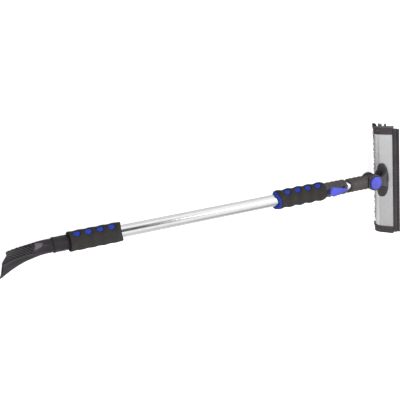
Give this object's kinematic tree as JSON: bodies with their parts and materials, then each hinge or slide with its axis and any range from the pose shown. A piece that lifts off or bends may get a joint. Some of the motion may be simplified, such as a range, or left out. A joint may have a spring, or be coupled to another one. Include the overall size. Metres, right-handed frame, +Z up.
{
  "type": "windshield ice scraper",
  "caption": "Telescoping snow brush with a pivoting brush and squeegee head at one end, an ice scraper blade at the other, foam grips and a cam clamp between the tubes.",
  "frame": {"origin": "on the pole's axis, in the middle of the bare stretch of tube between the two grips", "axes": "+X along the pole towards the brush head, +Z up when the tool lies on its bristles, the head's length along Y"},
  "size_m": [1.0255, 0.2793, 0.1116],
  "materials": {
    "scraper_plastic": "satin moulded",
    "black_plastic": "fine moulded texture",
    "yoke_plastic": "fine moulded texture",
    "cap_plastic": "fine moulded texture",
    "blue_plastic": "smooth moulded",
    "blue_sleeve": "soft-touch",
    "foam": "closed-cell foam",
    "polished_aluminium": "polished",
    "satin_aluminium": "satin",
    "steel": "zinc plated",
    "white_nylon": "moulded",
    "squeegee_rubber": "smooth",
    "bristle_fibre": "fibre"
  },
  "bodies": {
    "handle": {"scraper": "scraper_plastic", "scraper_rivets": "steel", "outer_tube": "polished_aluminium", "rear_grip_core": "blue_sleeve", "rear_grip_foam": "foam", "front_grip_core": "blue_sleeve", "front_grip_foam": "foam", "clamp_collar": "black_plastic", "clamp_liner": "white_nylon", "clamp_screw": "steel", "lever_pin": "steel"},
    "lever": {"lock_lever": "blue_plastic"},
    "bush": {"guide_bush": "white_nylon"},
    "extension": {"inner_tube": "polished_aluminium", "neck": "black_plastic", "neck_rivet": "steel", "button_spring": "steel"},
    "button": {"pivot_button": "blue_plastic", "lock_disc": "steel"},
    "head": {"yoke": "yoke_plastic", "pivot_pin": "steel", "pin_nut": "steel", "head_plate": "satin_aluminium", "brush_block": "black_plastic", "bristles": "bristle_fibre", "end_cap_left": "cap_plastic", "end_cap_right": "cap_plastic", "cap_screws": "steel", "squeegee_rail": "cap_plastic", "squeegee_blade": "squeegee_rubber", "yoke_screws": "steel"}
  },
  "joints": [
    {"name": "pole_slide", "type": "slide", "parent": "handle", "child": "bush", "axis": [1, 0, 0], "range_m": [0, 0.45]},
    {"name": "pole_twist", "type": "hinge", "parent": "bush", "child": "extension", "pos_m": [0, 0, 0], "axis": [1, 0, 0], "continuous": true},
    {"name": "head_pivot", "type": "hinge", "parent": "extension", "child": "head", "pos_m": [0.476, 0, 0], "axis": [0, 0, 1], "range_deg": [-90, 90]},
    {"name": "button_press", "type": "slide", "parent": "extension", "child": "button", "axis": [0, 0, -1], "range_m": [0, 0.0035], "stiffness_N_per_m": 700, "springref_m": -0.003, "deforming": ["button_spring"]},
    {"name": "lever_open", "type": "hinge", "parent": "handle", "child": "lever", "pos_m": [0.388, 0, 0.019], "axis": [0, 1, 0], "range_deg": [0, 100]}
  ]
}
